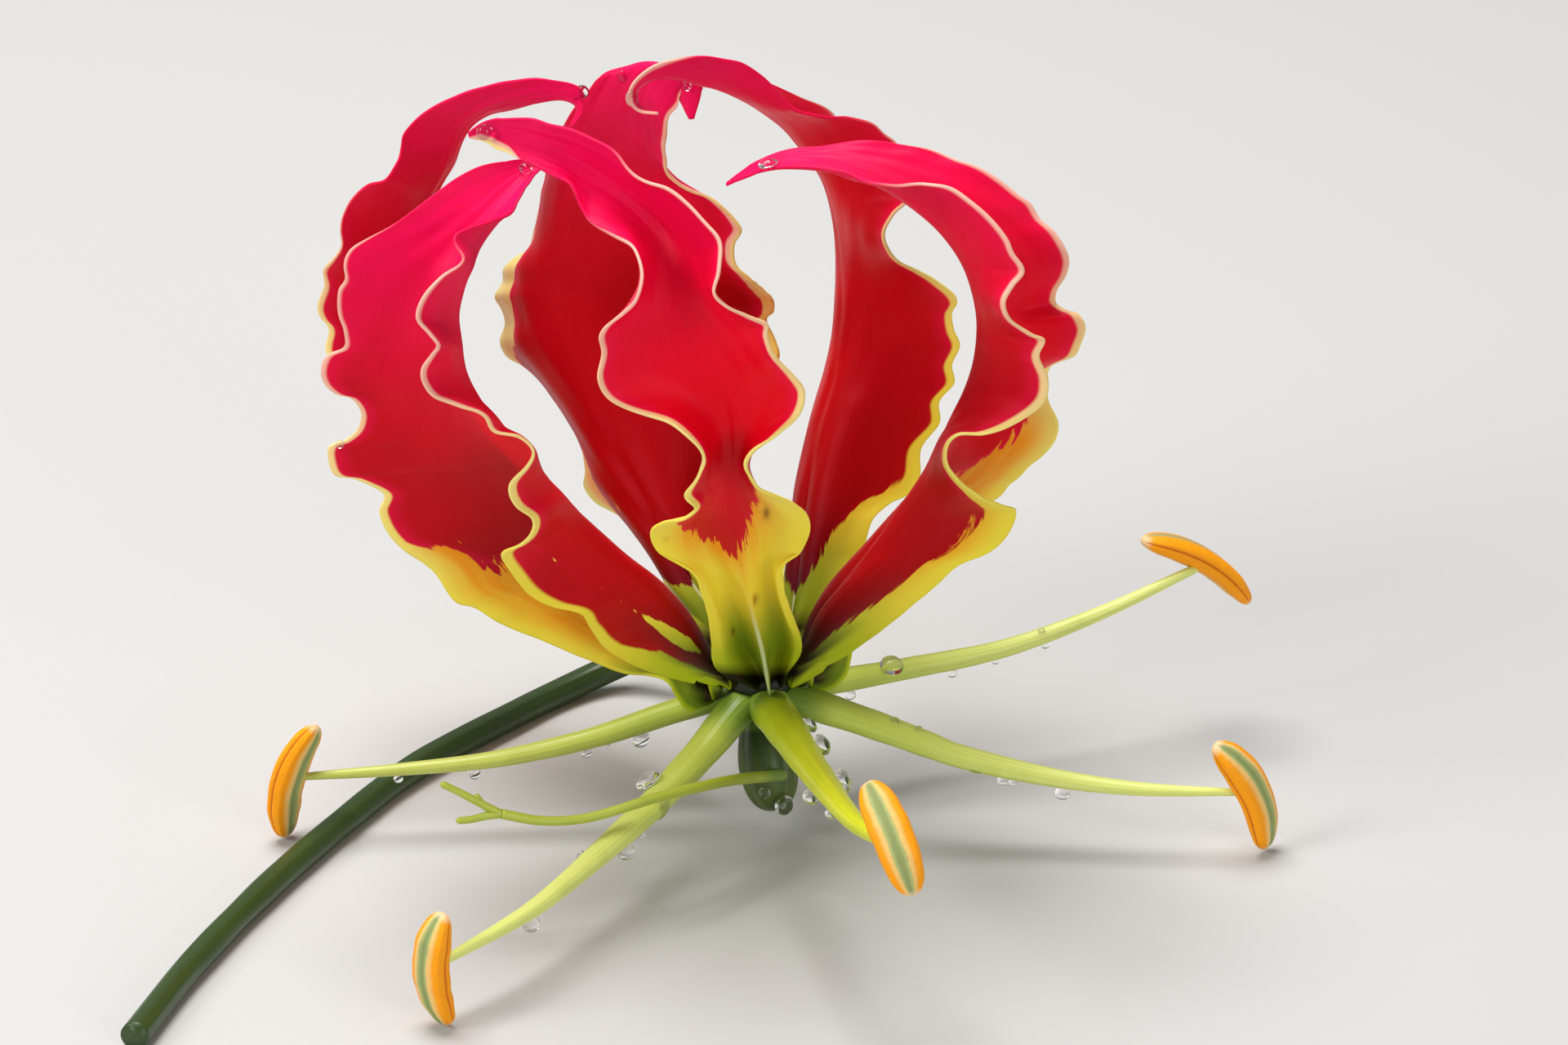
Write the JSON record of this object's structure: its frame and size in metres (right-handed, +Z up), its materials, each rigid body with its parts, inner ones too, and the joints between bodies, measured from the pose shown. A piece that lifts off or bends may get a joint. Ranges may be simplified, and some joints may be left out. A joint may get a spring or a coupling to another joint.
{
  "type": "glory lily bloom",
  "caption": "Picked glory lily bloom with wavy swept-back petals, long spreading stamens and a hooked stalk, resting face down on its anthers.",
  "frame": {"origin": "middle of the bounding box in plan, on the surface the anthers and the stalk rest on", "axes": "+Z up, +Y away from the viewer of the picture, +X to that viewer's right"},
  "size_m": [0.0983, 0.0873, 0.0733],
  "materials": {
    "petal_crimson": "satin crimson petal with a yellow margin and base",
    "filament_green": "smooth yellow-green stem tissue",
    "anther_orange": "powdery orange pollen",
    "ovary_green": "smooth dark green",
    "style_green": "smooth yellow-green",
    "stalk_green": "smooth dark green stem tissue"
  },
  "bodies": {
    "root": {"petal_front": "petal_crimson", "petal_front_left": "petal_crimson", "petal_back_left": "petal_crimson", "petal_back": "petal_crimson", "petal_back_right": "petal_crimson", "petal_front_right": "petal_crimson", "filament_left": "filament_green", "filament_front_left": "filament_green", "filament_front": "filament_green", "filament_right": "filament_green", "filament_back_right": "filament_green", "filament_back": "filament_green", "anther_left": "anther_orange", "anther_front_left": "anther_orange", "anther_front": "anther_orange", "anther_right": "anther_orange", "anther_back_right": "anther_orange", "anther_back": "anther_orange", "ovary": "ovary_green", "style": "style_green", "flower_stalk": "stalk_green"}
  },
  "joints": []
}
